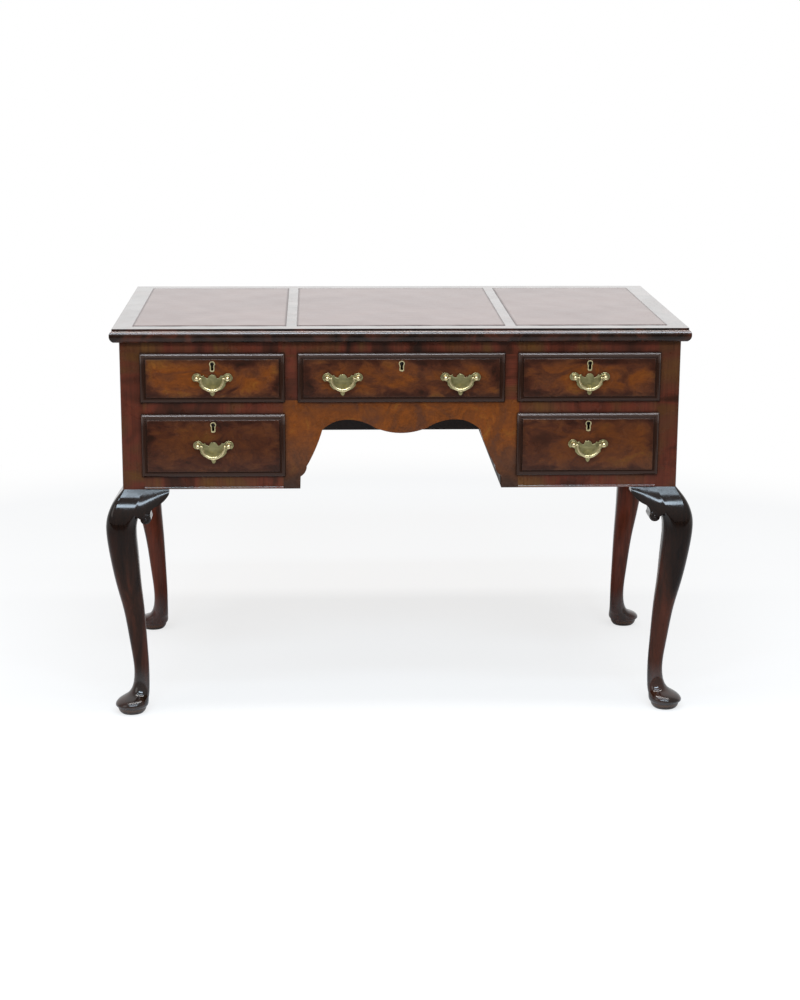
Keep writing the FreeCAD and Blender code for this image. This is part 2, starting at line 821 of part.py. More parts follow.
def make_brackets(leg_blank):
    swell = solid_feature("bracket_swell", bracket_swell())
    x = -case_half
    scroll_x = x + mm.scroll_in
    scroll_z = case_low - mm.scroll_drop
    outline = [
        (x + mm.post_size - mm.bracket_lap, case_low),
        (x + mm.bracket_root, scroll_z + mm.scroll_radius),
        (scroll_x - mm.scroll_radius, scroll_z, mm.scroll_radius),
        (scroll_x, scroll_z - mm.scroll_radius, mm.scroll_radius),
        (scroll_x + mm.scroll_radius, scroll_z, -mm.bracket_hollow_bend),
        (x + mm.bracket_neck_in, case_low - mm.bracket_neck_drop, mm.bracket_swell_bend),
        (x + mm.bracket_reach, case_low - mm.bracket_tip),
        (x + mm.bracket_reach, case_low),
    ]
    ear = padded("bracket_ear", "XZ", front - mm.knee_reach - mm.overrun, front + mm.bracket_depth, outline)
    shaped = common("bracket_shaped", swell, ear)
    scroll_front = front - mm.scroll_stand
    roll = rod("scroll_roll", mm.scroll_radius, scroll_x, (scroll_front, front), scroll_z, "y")
    cap = doc.addObject("Part::Cone", "scroll_cap")
    cap.setExpression("Radius1", formula_of(mm.scroll_radius))
    cap.setExpression("Radius2", formula_of(mm.scroll_radius - mm.scroll_cap))
    cap.setExpression("Height", formula_of(mm.scroll_cap))
    cap.Placement = FreeCAD.Placement(Vector(), FreeCAD.Rotation(ACROSS_X, 90))
    eye = doc.addObject("Part::Sphere", "scroll_eye")
    eye.setExpression("Radius", formula_of(mm.scroll_eye))
    eye_front = scroll_front - mm.scroll_cap
    for piece, y in ((cap, scroll_front), (eye, eye_front)):
        for axis, place in zip("xyz", (scroll_x, y, scroll_z)):
            piece.setExpression(f"Placement.Base.{axis}", formula_of(place))
    whole = fused("bracket_whole", [shaped, roll, cap, eye])
    along_front = cut("bracket_along_front", whole, [leg_blank])
    along_side = doc.addObject("Part::Mirroring", "bracket_along_side")
    along_side.Source = along_front
    along_side.Normal = Vector(1, -1, 0)
    along_side.setExpression("Base.x", formula_of(-case_half))
    along_side.setExpression("Base.y", formula_of(front))
    corner = group("brackets_front_left", [along_front, along_side])
    front_pair = both_sides("brackets_front", corner)
    node("knee_brackets", group("brackets", [front_pair, mirrored("brackets_rear", front_pair, ACROSS_Y)]))


# Handles: batwing plate, turned posts with nuts, swinging bail

# Right half of the plate from the top of the middle lobe round to the finial's tip: shares of the half
# width outwards, of the plate's rise or drop upwards, and the bend of the stretch that follows as a share
# of the half width, negative where the edge bulges
PLATE_SHARES = (
    (0.0, 0.74, -0.20),
    (0.21, -0.02, 0.20),
    (0.42, 0.66, 0.10),
    (0.535, 0.44, -0.24),
    (0.76, 1.0, -0.24),
    (1.0, 0.0, -0.26),
    (0.88, -0.20, 0.22),
    (0.63, -0.30, -0.13),
    (0.57, -0.49, -0.42),
    (0.25, -0.70, 0.13),
    (0.105, -0.76, -0.14),
    (0.10, -0.88, -0.20),
    (0.0, -1.0, 0.0),
)


def make_handle():
    """One handle about its own middle: X = 0, drawer face at Y = 0, posts at Z = 0. Gives the fixed
    pieces and the bail."""
    half_width = mm.plate_width / 2

    def plate_corner(out_share, up_share, bend_share, side):
        up = (mm.plate_rise if up_share > 0 else mm.plate_drop) * up_share
        place = (half_width * out_share * side, up)
        return place + ((half_width * bend_share,) if bend_share else ())

    right = [plate_corner(*shares, 1) for shares in PLATE_SHARES]
    back_ends = [(out, up) for out, up, _ in reversed(PLATE_SHARES[1:])]
    back_bends = [bend for _, _, bend in reversed(PLATE_SHARES[:-1])]
    left = [plate_corner(out, up, bend, -1) for (out, up), bend in zip(back_ends, back_bends)]
    # the finial's tip is shared: the left half starts there with its own bend
    outline = right[:-1] + left
    plate = padded("plate_blank", "XZ", -mm.plate_thick, 0, outline)

    depth = mm.lip_field + mm.front_thick
    tail = depth + mm.nut_thick + mm.shank_tail
    axis_y = -mm.plate_thick - mm.post_stand
    head_neck = axis_y + root(mm.head_radius * mm.head_radius - mm.neck_radius * mm.neck_radius)
    collar = -mm.plate_thick - mm.collar_thick
    profile = [
        (0, tail),
        (0, axis_y - mm.head_radius, mm.head_radius),
        (mm.head_radius, axis_y, mm.head_radius),
        (mm.neck_radius, head_neck),
        (mm.neck_radius, collar),
        (mm.collar_radius, collar),
        (mm.collar_radius, -mm.plate_thick),
        (mm.shank_radius, -mm.plate_thick),
        (mm.shank_radius, tail),
    ]
    post_body = turned("post_turning", profile)
    eye_radius = mm.pintle_radius + mm.pintle_fit
    eye_reach = mm.head_radius + mm.overrun
    eye = rod("post_eye", eye_radius, (-eye_reach, eye_reach), axis_y, 0, "x")
    post = cut("post_with_eye", post_body, [eye])

    hex_nut = doc.addObject("Part::Prism", "nut_blank")
    hex_nut.Polygon = 6
    hex_nut.setExpression("Circumradius", formula_of(mm.nut_radius))
    hex_nut.setExpression("Height", formula_of(mm.nut_thick))
    hex_nut.Placement = FreeCAD.Placement(Vector(), FreeCAD.Rotation(ACROSS_X, -90))
    hex_nut.setExpression("Placement.Base.y", formula_of(depth))
    bore = rod("nut_bore", mm.shank_radius + mm.shank_fit, 0, (depth - mm.overrun, tail + mm.overrun), 0, "y")
    nut = cut("nut", hex_nut, [bore])

    half_spread = mm.post_spread / 2
    one_post = moved("post_left", group("post_and_nut", [post, nut]), -half_spread, 0, 0)
    posts = both_sides("posts", one_post)
    hole_y = (-mm.plate_thick - mm.overrun, depth + mm.overrun)
    hole = rod("post_hole", mm.shank_radius + mm.shank_fit, -half_spread, hole_y, 0, "y")
    holes = both_sides("post_holes", hole)
    fixed = group("handle_fixed", [cut("plate", plate, [holes]), posts])
    bail = solid_feature("bail", bail_shape(float(axis_y)))
    return fixed, bail, holes


BAIL_STEPS = 14


def bail_ear(arm_out, axis_y):
    """The right-hand ball with its pintle, turned about the bail's axis."""
    ball, pintle = float(mm.bail_ball_radius), float(mm.pintle_radius)
    tip = ball + float(mm.pintle_length)
    meet = math.sqrt(ball * ball - pintle * pintle)
    outline = [
        Part.Arc(Vector(-ball, 0, 0), Vector(0, ball, 0), Vector(meet, pintle, 0)).toShape(),
        Part.makeLine(Vector(meet, pintle, 0), Vector(tip, pintle, 0)),
        Part.makeLine(Vector(tip, pintle, 0), Vector(tip, 0, 0)),
        Part.makeLine(Vector(tip, 0, 0), Vector(-ball, 0, 0)),
    ]
    ear = Part.Face(Part.Wire(outline)).revolve(Vector(), ACROSS_X, 360)
    ear.translate(Vector(arm_out, axis_y, 0))
    return ear


def bail_shape(axis_y):
    """Half ellipse, thin at the ears and thick below, with a knop, balls and pintles."""
    arm_out = float(mm.post_spread / 2 - mm.head_radius - mm.bail_gap - mm.bail_ball_radius)
    drop = float(mm.bail_drop)
    thin, thick = float(mm.bail_thin_radius), float(mm.bail_thick_radius)
    rings = []
    for step in range(BAIL_STEPS + 1):
        turn = math.pi * step / BAIL_STEPS
        middle = Vector(arm_out * math.cos(turn), axis_y, -drop * math.sin(turn))
        along = Vector(-arm_out * math.sin(turn), 0, -drop * math.cos(turn))
        ring = Part.Circle(middle, along, between(thin, thick, math.sin(turn) ** 2))
        ring.XAxis = ACROSS_Y
        rings.append(Part.Wire([ring.toShape()]))
    bow = Part.makeLoft(rings, True, False)
    knop = Part.makeSphere(float(mm.knop_radius), Vector(0, axis_y, -drop), ACROSS_X)
    right_ear = bail_ear(arm_out, axis_y)
    left_ear = right_ear.mirror(Vector(), ACROSS_X)
    return bow.fuse([knop, right_ear, left_ear]).removeSplitter()


# Drawers

# Bend of a keyhole's round foot as a share of half its width
KEYHOLE_FOOT_SHARE = 1.4


def keyhole_outline(middle, level, radius, waist, foot):
    """Round head over a straight-sided foot."""
    half = waist / 2
    neck = root(radius * radius - half * half)
    return [
        (middle + half, level - foot),
        (middle + half, level - neck, radius),
        (middle, level + radius, radius),
        (middle - half, level - neck),
        (middle - half, level - foot, half * KEYHOLE_FOOT_SHARE),
    ]


def make_lock(name, middle, top, high):
    """Lock case, escutcheon and bolt of one drawer, and the cutters that let them into its front."""
    half = mm.lock_width / 2
    lock_y = (block_back - mm.lock_depth, block_back)
    recess = box(f"{name}_lock_recess", (middle - half, middle + half), lock_y, (top - mm.lock_height, top))
    half_bolt = mm.bolt_width / 2
    bolt_z = (top - mm.bolt_clear - mm.bolt_height, top - mm.bolt_clear)
    bolt = box(f"{name}_bolt", (middle - half_bolt, middle + half_bolt), bolt_span(0), bolt_z)
    channel = box(
        f"{name}_bolt_channel",
        (middle - half_bolt - mm.bolt_clear, middle + half_bolt + mm.bolt_clear),
        bolt_span(mm.bolt_clear),
        (bolt_z[0] - mm.bolt_clear, top + mm.overrun),
    )
    level = high - mm.keyhole_drop
    keyhole = keyhole_outline(middle, level, mm.keyhole_radius, mm.keyhole_slot, mm.keyhole_foot)
    key_way = padded(f"{name}_key_way", "XZ", field - mm.overrun, bolt_span(0)[0], keyhole)
    case = cut(f"{name}_lock_case", recess, [channel, key_way])

    def rim(fit):
        waist = mm.escutcheon_waist + 2 * fit
        return keyhole_outline(middle, level, mm.escutcheon_radius + fit, waist, mm.escutcheon_foot + fit)

    inlay_y = (field - mm.escutcheon_stand, field + mm.escutcheon_depth)
    plate = padded(f"{name}_escutcheon", "XZ", *inlay_y, rim(0), keyhole)
    seat = padded(f"{name}_escutcheon_seat", "XZ", field - mm.overrun, inlay_y[1], rim(mm.escutcheon_fit))
    return group(f"{name}_lock", [case, plate]), bolt, [recess, key_way, seat]


def lip_profile(low, high):
    """Section of a drawer's lip across one way: thin rims, round mouldings and a raised field."""
    rim = lip_back - mm.lip_rim
    shoulder = lip_back - mm.lip_shoulder
    return rim, shoulder, low + mm.lip_moulding, high - mm.lip_moulding


def make_lip(name, x, z):
    """The mitred lip: what an upright run and a level run of the same moulding share."""
    rim, shoulder, low, high = lip_profile(*z)
    level_section = [
        (lip_back, z[0]), (lip_back, z[1]), (rim, z[1], mm.lip_bend), (shoulder, high), (field, high),
        (field, low), (shoulder, low, mm.lip_bend), (rim, z[0]),
    ]
    level_run = padded(f"{name}_lip_level", "YZ", *x, level_section)
    rim, shoulder, low, high = lip_profile(*x)
    upright_section = [
        (x[0], lip_back), (x[0], rim, mm.lip_bend), (low, shoulder), (low, field),
        (high, field), (high, shoulder, mm.lip_bend), (x[1], rim), (x[1], lip_back),
    ]
    upright_run = padded(f"{name}_lip_upright", "XY", *z, upright_section)
    return common(f"{name}_lip", level_run, upright_run)


def make_drawer(name, x, z, tails, handle_places, handle):
    """One drawer in its opening. Gives its finished pieces by name."""
    fixed_master, bail_master, holes_master = handle
    low, high = z[0] + mm.runner_clear, z[1] - mm.drawer_top_clear
    left, right = x[0] + mm.drawer_side_clear, x[1] - mm.drawer_side_clear
    end = back_front - mm.drawer_back_room
    middle = (x[0] + x[1]) / 2
    side_top = high - mm.drawer_side_drop

    inner_left, inner_right = left + mm.drawer_side_thick, right - mm.drawer_side_thick
    board_x = (inner_left - mm.groove_depth, inner_right + mm.groove_depth)
    bottom_z = (low + mm.drawer_bottom_rise, low + mm.drawer_bottom_rise + mm.drawer_bottom_thick)
    bottom = box(f"{name}_bottom", board_x, (block_back - mm.groove_depth, end), bottom_z)
    back_y = (end - mm.drawer_back_inset - mm.drawer_back_thick, end - mm.drawer_back_inset)
    rear = box(f"{name}_back", board_x, back_y, (bottom_z[1], side_top - mm.drawer_back_drop))

    side_pieces = []
    tail_cutters = []
    pitch = (side_top - low) / tails
    for hand, start in (("left", left), ("right", inner_right)):
        board_span = (start, start + mm.drawer_side_thick)
        board = box(f"{name}_side_{hand}_board", board_span, (block_back, end), (low, side_top))
        parts = [board]
        for number in range(tails):
            tail = doc.addObject("Part::Wedge", f"{name}_tail_{hand}_{number}")
            sides = {
                "Xmin": 0, "X2min": 0, "Xmax": mm.drawer_side_thick, "X2max": mm.drawer_side_thick,
                "Ymin": 0, "Ymax": mm.tail_length,
                "Zmin": -mm.tail_end / 2, "Zmax": mm.tail_end / 2,
                "Z2min": -mm.tail_root / 2, "Z2max": mm.tail_root / 2,
            }
            for side, size in sides.items():
                tail.setExpression(side, formula_of(size))
            place = (start, block_back - mm.tail_length, low + pitch * (number + 0.5))
            for axis, shift in zip("xyz", place):
                tail.setExpression(f"Placement.Base.{axis}", formula_of(shift))
            parts.append(tail)
            tail_cutters.append(tail)
        whole = fused(f"{name}_side_{hand}_whole", parts)
        side_pieces.append(cut(f"{name}_side_{hand}", whole, [bottom, rear]))

    lip_x = (x[0] - mm.lip_overlap, x[1] + mm.lip_overlap)
    lip_z = (z[0] - mm.lip_overlap, z[1] + mm.lip_overlap)
    block = box(f"{name}_block", (left, right), (lip_back, block_back), (low, high))
    front_blank = fused(f"{name}_front_blank", [make_lip(name, lip_x, lip_z), block])
    lock, bolt, lock_cutters = make_lock(name, middle, high, z[1])
    handle_level = (z[0] + z[1]) / 2 + mm.handle_rise
    plates = []
    bails = {}
    hole_cutters = []
    for place, shift in handle_places.items():
        spot = (middle + shift, field, handle_level)
        plates.append(moved(f"{name}_handle{place}", fixed_master, *spot))
        bails[place] = moved(f"{name}_bail{place}", bail_master, *spot)
        hole_cutters.append(moved(f"{name}_handle_holes{place}", holes_master, *spot))
    cutters = tail_cutters + [bottom] + lock_cutters + hole_cutters
    pieces = {
        f"drawer_front_{name}": cut(f"{name}_front", front_blank, cutters),
        f"drawer_sides_{name}": group(f"{name}_sides", side_pieces),
        f"drawer_back_{name}": rear,
        f"drawer_bottom_{name}": bottom,
        f"handle_{name}": group(f"{name}_handles", plates),
        f"lock_{name}": lock,
        f"lock_bolt_{name}": bolt,
    }
    pieces.update({f"bail_{name}{place}": bail for place, bail in bails.items()})
    return pieces


UPPER_TAILS = 2
LOWER_TAILS = 3


def make_drawers():
    handle = make_handle()
    side_x = (-post_in, -divider_out)
    upper_z, lower_z = (upper_low, upper_high), (lower_low, lower_high)
    one_place = {"": 0}
    two_places = {"_left": -mm.centre_handle_out, "_right": mm.centre_handle_out}
    upper = make_drawer("upper_left", side_x, upper_z, UPPER_TAILS, one_place, handle)
    lower = make_drawer("lower_left", side_x, lower_z, LOWER_TAILS, one_place, handle)
    centre_x = (-centre_half, centre_half)
    centre = make_drawer("upper_centre", centre_x, upper_z, UPPER_TAILS, two_places, handle)
    for pieces in (upper, lower, centre):
        for name, piece in pieces.items():
            node(name, piece)
    for pieces in (upper, lower):
        for name, piece in pieces.items():
            other = name.replace("_left", "_right")
            node(other, mirrored(f"{piece.Name}_right_hand", piece, ACROSS_X))


make_top()
make_edging()
make_rails()
make_apron()
tongues = make_panels()
make_runners()
make_brackets(make_legs(*tongues))
make_drawers()
doc.recompute()

# Nothing is written unless every object is sound
for item in doc.Objects:
    if {"Invalid", "Error"} & set(item.State):
        raise RuntimeError(f"{item.Name} failed: {item.State}")
for piece in nodes:
    if piece.Shape.isNull() or not piece.Shape.isValid() or not piece.Shape.Solids:
        raise RuntimeError(f"{piece.Label} has no sound shape")

os.makedirs("parts", exist_ok=True)
for piece in nodes:
    Part.makeCompound(piece.Shape.Solids).exportStep(f"parts/{piece.Label}.step")
    print(piece.Label, len(piece.Shape.Solids), "solids", round(piece.Shape.Volume), "mm3")
print(len(nodes), "nodes")
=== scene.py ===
import json
import math

import bmesh
import bpy
from mathutils import Matrix, Vector


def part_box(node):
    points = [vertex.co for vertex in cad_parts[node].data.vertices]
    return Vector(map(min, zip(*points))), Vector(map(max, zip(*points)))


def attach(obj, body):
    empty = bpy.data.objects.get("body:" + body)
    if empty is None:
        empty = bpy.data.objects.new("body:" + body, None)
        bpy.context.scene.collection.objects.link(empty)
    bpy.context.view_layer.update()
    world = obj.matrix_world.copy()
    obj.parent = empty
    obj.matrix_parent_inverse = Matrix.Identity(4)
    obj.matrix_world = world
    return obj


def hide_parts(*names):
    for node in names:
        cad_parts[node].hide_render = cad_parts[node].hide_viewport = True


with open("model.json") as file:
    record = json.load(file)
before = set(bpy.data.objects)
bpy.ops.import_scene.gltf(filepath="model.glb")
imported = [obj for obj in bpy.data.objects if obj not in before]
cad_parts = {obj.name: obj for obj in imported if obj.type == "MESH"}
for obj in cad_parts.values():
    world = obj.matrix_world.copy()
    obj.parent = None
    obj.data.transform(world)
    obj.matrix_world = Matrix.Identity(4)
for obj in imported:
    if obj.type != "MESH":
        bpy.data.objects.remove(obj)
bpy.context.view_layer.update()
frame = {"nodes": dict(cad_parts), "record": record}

# Walnut kneehole desk: polished veneers, worn leather, old brass, and a plain studio round it.
# Metres, in the model's own frame: X to the right, Y to the back, Z up from the floor.

scene = bpy.context.scene
nodes = frame["nodes"]
body_of = {node: body for body, members in frame["record"]["behaviour"]["bodies"].items() for node in members}

DRAWERS = ("upper_left", "upper_centre", "upper_right", "lower_left", "lower_right")
LEATHERS = ("leather_left", "leather_centre", "leather_right")
LEGS = ("leg_front_left", "leg_front_right", "leg_rear_left", "leg_rear_right")

# Levels that the finishes follow, from the frame
case_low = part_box("side_panels")[0].z
desk_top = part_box("top_board")[1].z

AXES = {"x": 0, "y": 1, "z": 2}
IN_PLACE = (0.0, 0.0, 0.0)
WHITE = (1.0, 1.0, 1.0, 1.0)

# Sockets of the Mix node: the share and the two colours that go in, and the colour that comes out
MIX_IN = (0, 6, 7)
MIX_OUT = 2
CREVICE_SAMPLES = 8


class Recipe:
    """A node tree, with short ways to add nodes to it."""

    def __init__(self, tree):
        self.tree = tree

    def add(self, kind, inputs=None, **settings):
        """A new node with its settings made and its inputs filled."""
        made = self.tree.nodes.new(f"ShaderNode{kind}")
        for setting, value in settings.items():
            setattr(made, setting, value)
        for socket, value in (inputs or {}).items():
            self.put(made.inputs[socket], value)
        return made

    def put(self, socket, value):
        """Fill a socket with a plain value, or link another socket to it."""
        if isinstance(value, bpy.types.NodeSocket):
            self.tree.links.new(value, socket)
        else:
            socket.default_value = value

    def math(self, operation, first, second=0.0):
        """A number worked out from one or two others."""
        return self.add("Math", {0: first, 1: second}, operation=operation).outputs[0]

    def mapped(self, value, start, end, low=0.0, high=1.0, smooth=False):
        """A number that goes from low to high while the value goes from start to end."""
        inputs = {"Value": value, "From Min": start, "From Max": end, "To Min": low, "To Max": high}
        kind = "SMOOTHSTEP" if smooth else "LINEAR"
        return self.add("MapRange", inputs, interpolation_type=kind, clamp=True).outputs[0]

    def rays(self):
        """Whether a ray is the camera's own, and whether it comes by way of metal, polish or glass."""
        path = self.add("LightPath").outputs
        return path["Is Camera Ray"], self.math("MAXIMUM", path["Is Glossy Ray"], path["Is Transmission Ray"])


class Finish(Recipe):
    """A material, with short ways to lay patterns and colours on a piece."""

    def __init__(self, name):
        self.material = bpy.data.materials.new(name)
        self.material.use_nodes = True
        super().__init__(self.material.node_tree)
        self.shader = self.tree.nodes["Principled BSDF"]
        self.place = self.add("TexCoord").outputs["Object"]

    def set(self, **values):
        """Set the shader's own sockets: base_color becomes Base Color, and so on."""
        names = {"specular": "Specular IOR Level", "coat": "Coat Weight"}
        for key, value in values.items():
            self.put(self.shader.inputs[names.get(key, key.replace("_", " ").title())], value)

    def along(self, axis):
        """The place on the piece along one axis."""
        return self.add("SeparateXYZ", {0: self.place}).outputs[AXES[axis]]

    def stretched(self, scale, shift=IN_PLACE):
        """The place on the piece, scaled and shifted for a pattern."""
        return self.add("Mapping", {"Vector": self.place, "Scale": scale, "Location": shift}).outputs[0]

    def drawn_out(self, axis, share, shift=IN_PLACE):
        """The place on the piece for a pattern that is drawn out along one axis."""
        return self.stretched([share if name == axis else 1.0 for name in AXES], shift)

    def noise(self, vector, scale, detail=4.0, roughness=0.5, distortion=0.0):
        """An uneven pattern round a half; the larger the scale, the finer it is."""
        inputs = {"Vector": vector, "Scale": scale, "Detail": detail}
        inputs.update({"Roughness": roughness, "Distortion": distortion})
        return self.add("TexNoise", inputs).outputs[0]

    def ramp(self, value, stops):
        """A colour band: stops are (place, colour)."""
        made = self.add("ValToRGB", {0: value})
        band = made.color_ramp.elements
        while len(band) < len(stops):
            band.new(1.0)
        for element, (place, colour) in zip(band, stops):
            element.position = place
            element.color = (*colour, 1.0)
        return made.outputs[0]

    def mixed(self, share, first, second):
        """The first colour where the share is 0, the second where it is 1."""
        made = self.add("Mix", data_type="RGBA", clamp_factor=True)
        for index, value in zip(MIX_IN, (share, first, second)):
            self.put(made.inputs[index], (*value, 1.0) if isinstance(value, tuple) else value)
        return made.outputs[MIX_OUT]

    def corner_shade_and_grime(self, colour, shade_and_grime_colour, reach, most, full=0.30):
        """A colour darkened in the corners and quirks, up to a reach from them: painted shade there, with
        some grime.
        """
        open_air = self.add("AmbientOcclusion", {"Distance": reach}, samples=CREVICE_SAMPLES).outputs["AO"]
        return self.mixed(self.mapped(open_air, full, 0.95, most, 0.0), colour, shade_and_grime_colour)

    def emboss(self, height, depth, strength):
        """Give the surface a fine relief."""
        relief = self.add("Bump", {"Height": height, "Distance": depth, "Strength": strength})
        self.set(normal=relief.outputs[0])


# Wood tones, as linear colours
NEAR_BLACK = (0.006, 0.003, 0.002)
DARK_BROWN = (0.024, 0.009, 0.005)
SMOKE_BROWN = (0.045, 0.030, 0.024)
DULL_RED = (0.070, 0.018, 0.009)
RED_BROWN = (0.130, 0.028, 0.014)
WALNUT = (0.110, 0.035, 0.014)
OLIVE_BROWN = (0.125, 0.050, 0.012)
APRON_BROWN = (0.155, 0.042, 0.009)
ORANGE_BROWN = (0.205, 0.052, 0.008)
GOLD_BROWN = (0.250, 0.090, 0.014)
OAK = (0.300, 0.180, 0.085)
OAK_DARK = (0.170, 0.095, 0.042)

# An old wax polish: how rough and how shiny it is, and how rough a thicker coat of it is
WAX_ROUGHNESS = 0.27
WAX_SHINE = 0.22
COAT_ROUGHNESS = 0.12
# The tint that polish gives to what it mirrors
WARM_POLISH = (1.0, 0.82, 0.75, 1.0)

# How far from its corners a surface is darkened: painted shade in corners, quirks and recesses, with dust and
# old polish on wood and tarnish on brass
WOOD_SHADE_AND_DUST = 0.010
OAK_SHADE_AND_DUST = 0.020
BRASS_SHADE_AND_TARNISH = 0.005


def grain(finish, axis, shift=IN_PLACE):
    """Fine streaks and pores of wood that run along one axis."""
    long_streaks = finish.drawn_out(axis, 0.05, shift)
    streaks = finish.noise(long_streaks, 210.0, detail=5.0, roughness=0.62, distortion=0.25)
    pores = finish.noise(finish.drawn_out(axis, 0.02, shift), 900.0, detail=2.0)
    return streaks, finish.mapped(pores, 0.56, 0.72)


def burr_flecks(finish, vector):
    """Fine flecks and pores of a burr, with no run of the grain."""
    flecks = finish.noise(vector, 160.0, roughness=0.65, distortion=0.8)
    return flecks, finish.mapped(finish.noise(vector, 620.0, detail=2.0), 0.58, 0.74)


def polish(finish, colour, streaks, pores, roughness=WAX_ROUGHNESS, shine=WAX_SHINE, coat=0.0):
    """Put the colour under an old polish: grain, pores, painted shade and dust in the corners, and an uneven
    gloss.
    """
    colour = finish.mixed(finish.mapped(streaks, 0.40, 0.75, 0.0, 0.45), colour, DARK_BROWN)
    colour = finish.mixed(finish.math("MULTIPLY", pores, 0.35), colour, NEAR_BLACK)
    # Painted shade: the colour goes towards black in corners, quirks and beside parts that stand out, such as
    # the handle plates, with some dust
    colour = finish.corner_shade_and_grime(colour, NEAR_BLACK, WOOD_SHADE_AND_DUST, most=0.75, full=0.35)
    smears = finish.noise(finish.place, 16.0, detail=3.0, roughness=0.6)
    uneven = finish.math("ADD", roughness, finish.mapped(smears, 0.3, 0.7, -0.06, 0.10))
    finish.set(base_color=colour, roughness=uneven, specular=shine)
    finish.set(coat=coat, coat_roughness=COAT_ROUGHNESS)
    finish.emboss(streaks, depth=0.0001, strength=0.35)
    return finish.material


def cross_veneer(finish, axis, shift):
    """Short-grained strips of walnut laid across a rail or a post: patches of red, brown and olive."""
    patches = finish.drawn_out(axis, 0.45, shift)
    figure = finish.noise(patches, 13.0, detail=3.0, roughness=0.55, distortion=0.7)
    tones = ((0.28, DARK_BROWN), (0.38, DULL_RED), (0.47, RED_BROWN), (0.56, WALNUT), (0.68, OLIVE_BROWN))
    return finish.ramp(figure, tones)


# Height of the bead along the case's lower edge
BEAD_HEIGHT = 0.005


def veneered(name, axis, shift=IN_PLACE, beaded=False):
    """Cross-veneered rails and dividers; a bead along the case's lower edge is rubbed to a shine."""
    finish = Finish(name)
    shine = WAX_SHINE
    roughness = WAX_ROUGHNESS
    if beaded:
        on_bead = finish.mapped(finish.along("z"), case_low + BEAD_HEIGHT, case_low + BEAD_HEIGHT * 0.8)
        shine = finish.mapped(on_bead, 0.0, 1.0, shine, 0.90)
        roughness = finish.mapped(on_bead, 0.0, 1.0, roughness, 0.20)
    return polish(finish, cross_veneer(finish, axis, shift), *grain(finish, axis, shift), roughness, shine)


# Height to which the apron's wings are stained from below
HEM_HEIGHT = 0.100


def apron_walnut():
    """Warmer, lighter walnut with a mottled figure, stained dark towards the foot of its wings."""
    finish = Finish("apron_walnut")
    figure = finish.noise(finish.drawn_out("z", 0.8), 17.0, roughness=0.6, distortion=1.4)
    tones = ((0.34, WALNUT), (0.47, APRON_BROWN), (0.59, ORANGE_BROWN), (0.72, GOLD_BROWN))
    hem = finish.mapped(finish.along("z"), case_low, case_low + HEM_HEIGHT, 0.95, 0.0)
    shine = finish.mapped(hem, 0.45, 0.75, WAX_SHINE, 0.0)
    colour = finish.mixed(hem, finish.ramp(figure, tones), SMOKE_BROWN)
    return polish(finish, colour, *burr_flecks(finish, finish.place), shine=shine)


# Near-black tones of the kneehole's inner sides and of the back board inside the kneehole: painted shade
SHADED_TONES = ((0.35, NEAR_BLACK), (0.75, DARK_BROWN))
BACK_TONES = ((0.30, DARK_BROWN), (0.50, DULL_RED), (0.70, WALNUT))
SIDE_TONES = ((0.32, DARK_BROWN), (0.50, WALNUT), (0.68, ORANGE_BROWN))


def board_figure(finish, axis):
    """The broad figure of a straight-grained board."""
    return finish.noise(finish.drawn_out(axis, 0.18), 14.0, roughness=0.55, distortion=1.0)


def plain_walnut(name, axis, tones, roughness, shine):
    """Straight-grained walnut board."""
    finish = Finish(name)
    colour = finish.ramp(board_figure(finish, axis), tones)
    return polish(finish, colour, *grain(finish, axis), roughness, shine)


def back_walnut():
    """The back board: near black inside the kneehole, which is painted shade, and thinly polished outside."""
    finish = Finish("back_walnut")
    low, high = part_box("back_panel")
    outside = finish.mapped(finish.along("y"), (low.y + high.y) / 2, high.y)
    figure = board_figure(finish, "x")
    colour = finish.mixed(outside, finish.ramp(figure, SHADED_TONES), finish.ramp(figure, BACK_TONES))
    return polish(finish, colour, *grain(finish, "x"), roughness=0.34)


def inward_of(finish, low, high, axes):
    """Distance in from the nearest side of a box, across two axes."""
    distances = []
    for axis in axes:
        index = AXES[axis]
        from_middle = finish.math("SUBTRACT", finish.along(axis), (low[index] + high[index]) / 2)
        half = (high[index] - low[index]) / 2
        distances.append(finish.math("SUBTRACT", half, finish.math("ABSOLUTE", from_middle)))
    return finish.math("MINIMUM", *distances)


# How warm and how shaded each drawer's field is, and where its burr was cut
BURRS = {
    "upper_left": (0.90, 0.0, (0.10, 0.0, 0.30)),
    "upper_centre": (0.80, 0.08, (0.45, 0.0, 0.10)),
    "upper_right": (0.75, 0.05, (0.80, 0.0, 0.55)),
    "lower_left": (0.35, 0.25, (1.30, 0.0, 0.20)),
    "lower_right": (0.50, 0.20, (1.90, 0.0, 0.40)),
}
COOL_BURR = ((0.30, DARK_BROWN), (0.42, DULL_RED), (0.58, WALNUT), (0.74, OLIVE_BROWN))
WARM_BURR = ((0.28, DULL_RED), (0.42, WALNUT), (0.58, ORANGE_BROWN), (0.76, GOLD_BROWN))
BURR_SWIRL = 0.07

# Width of a drawer front's lip and of the line where its colour ends, and the rounding of its arrises
LIP_WIDTH = 0.011
LIP_LINE = 0.0006
LIP_ROUND = 0.0010
# Width over which the burr darkens to the lip, and how far the figure makes that waver
MARGIN_WIDTH = 0.030
MARGIN_WAVER = 0.010


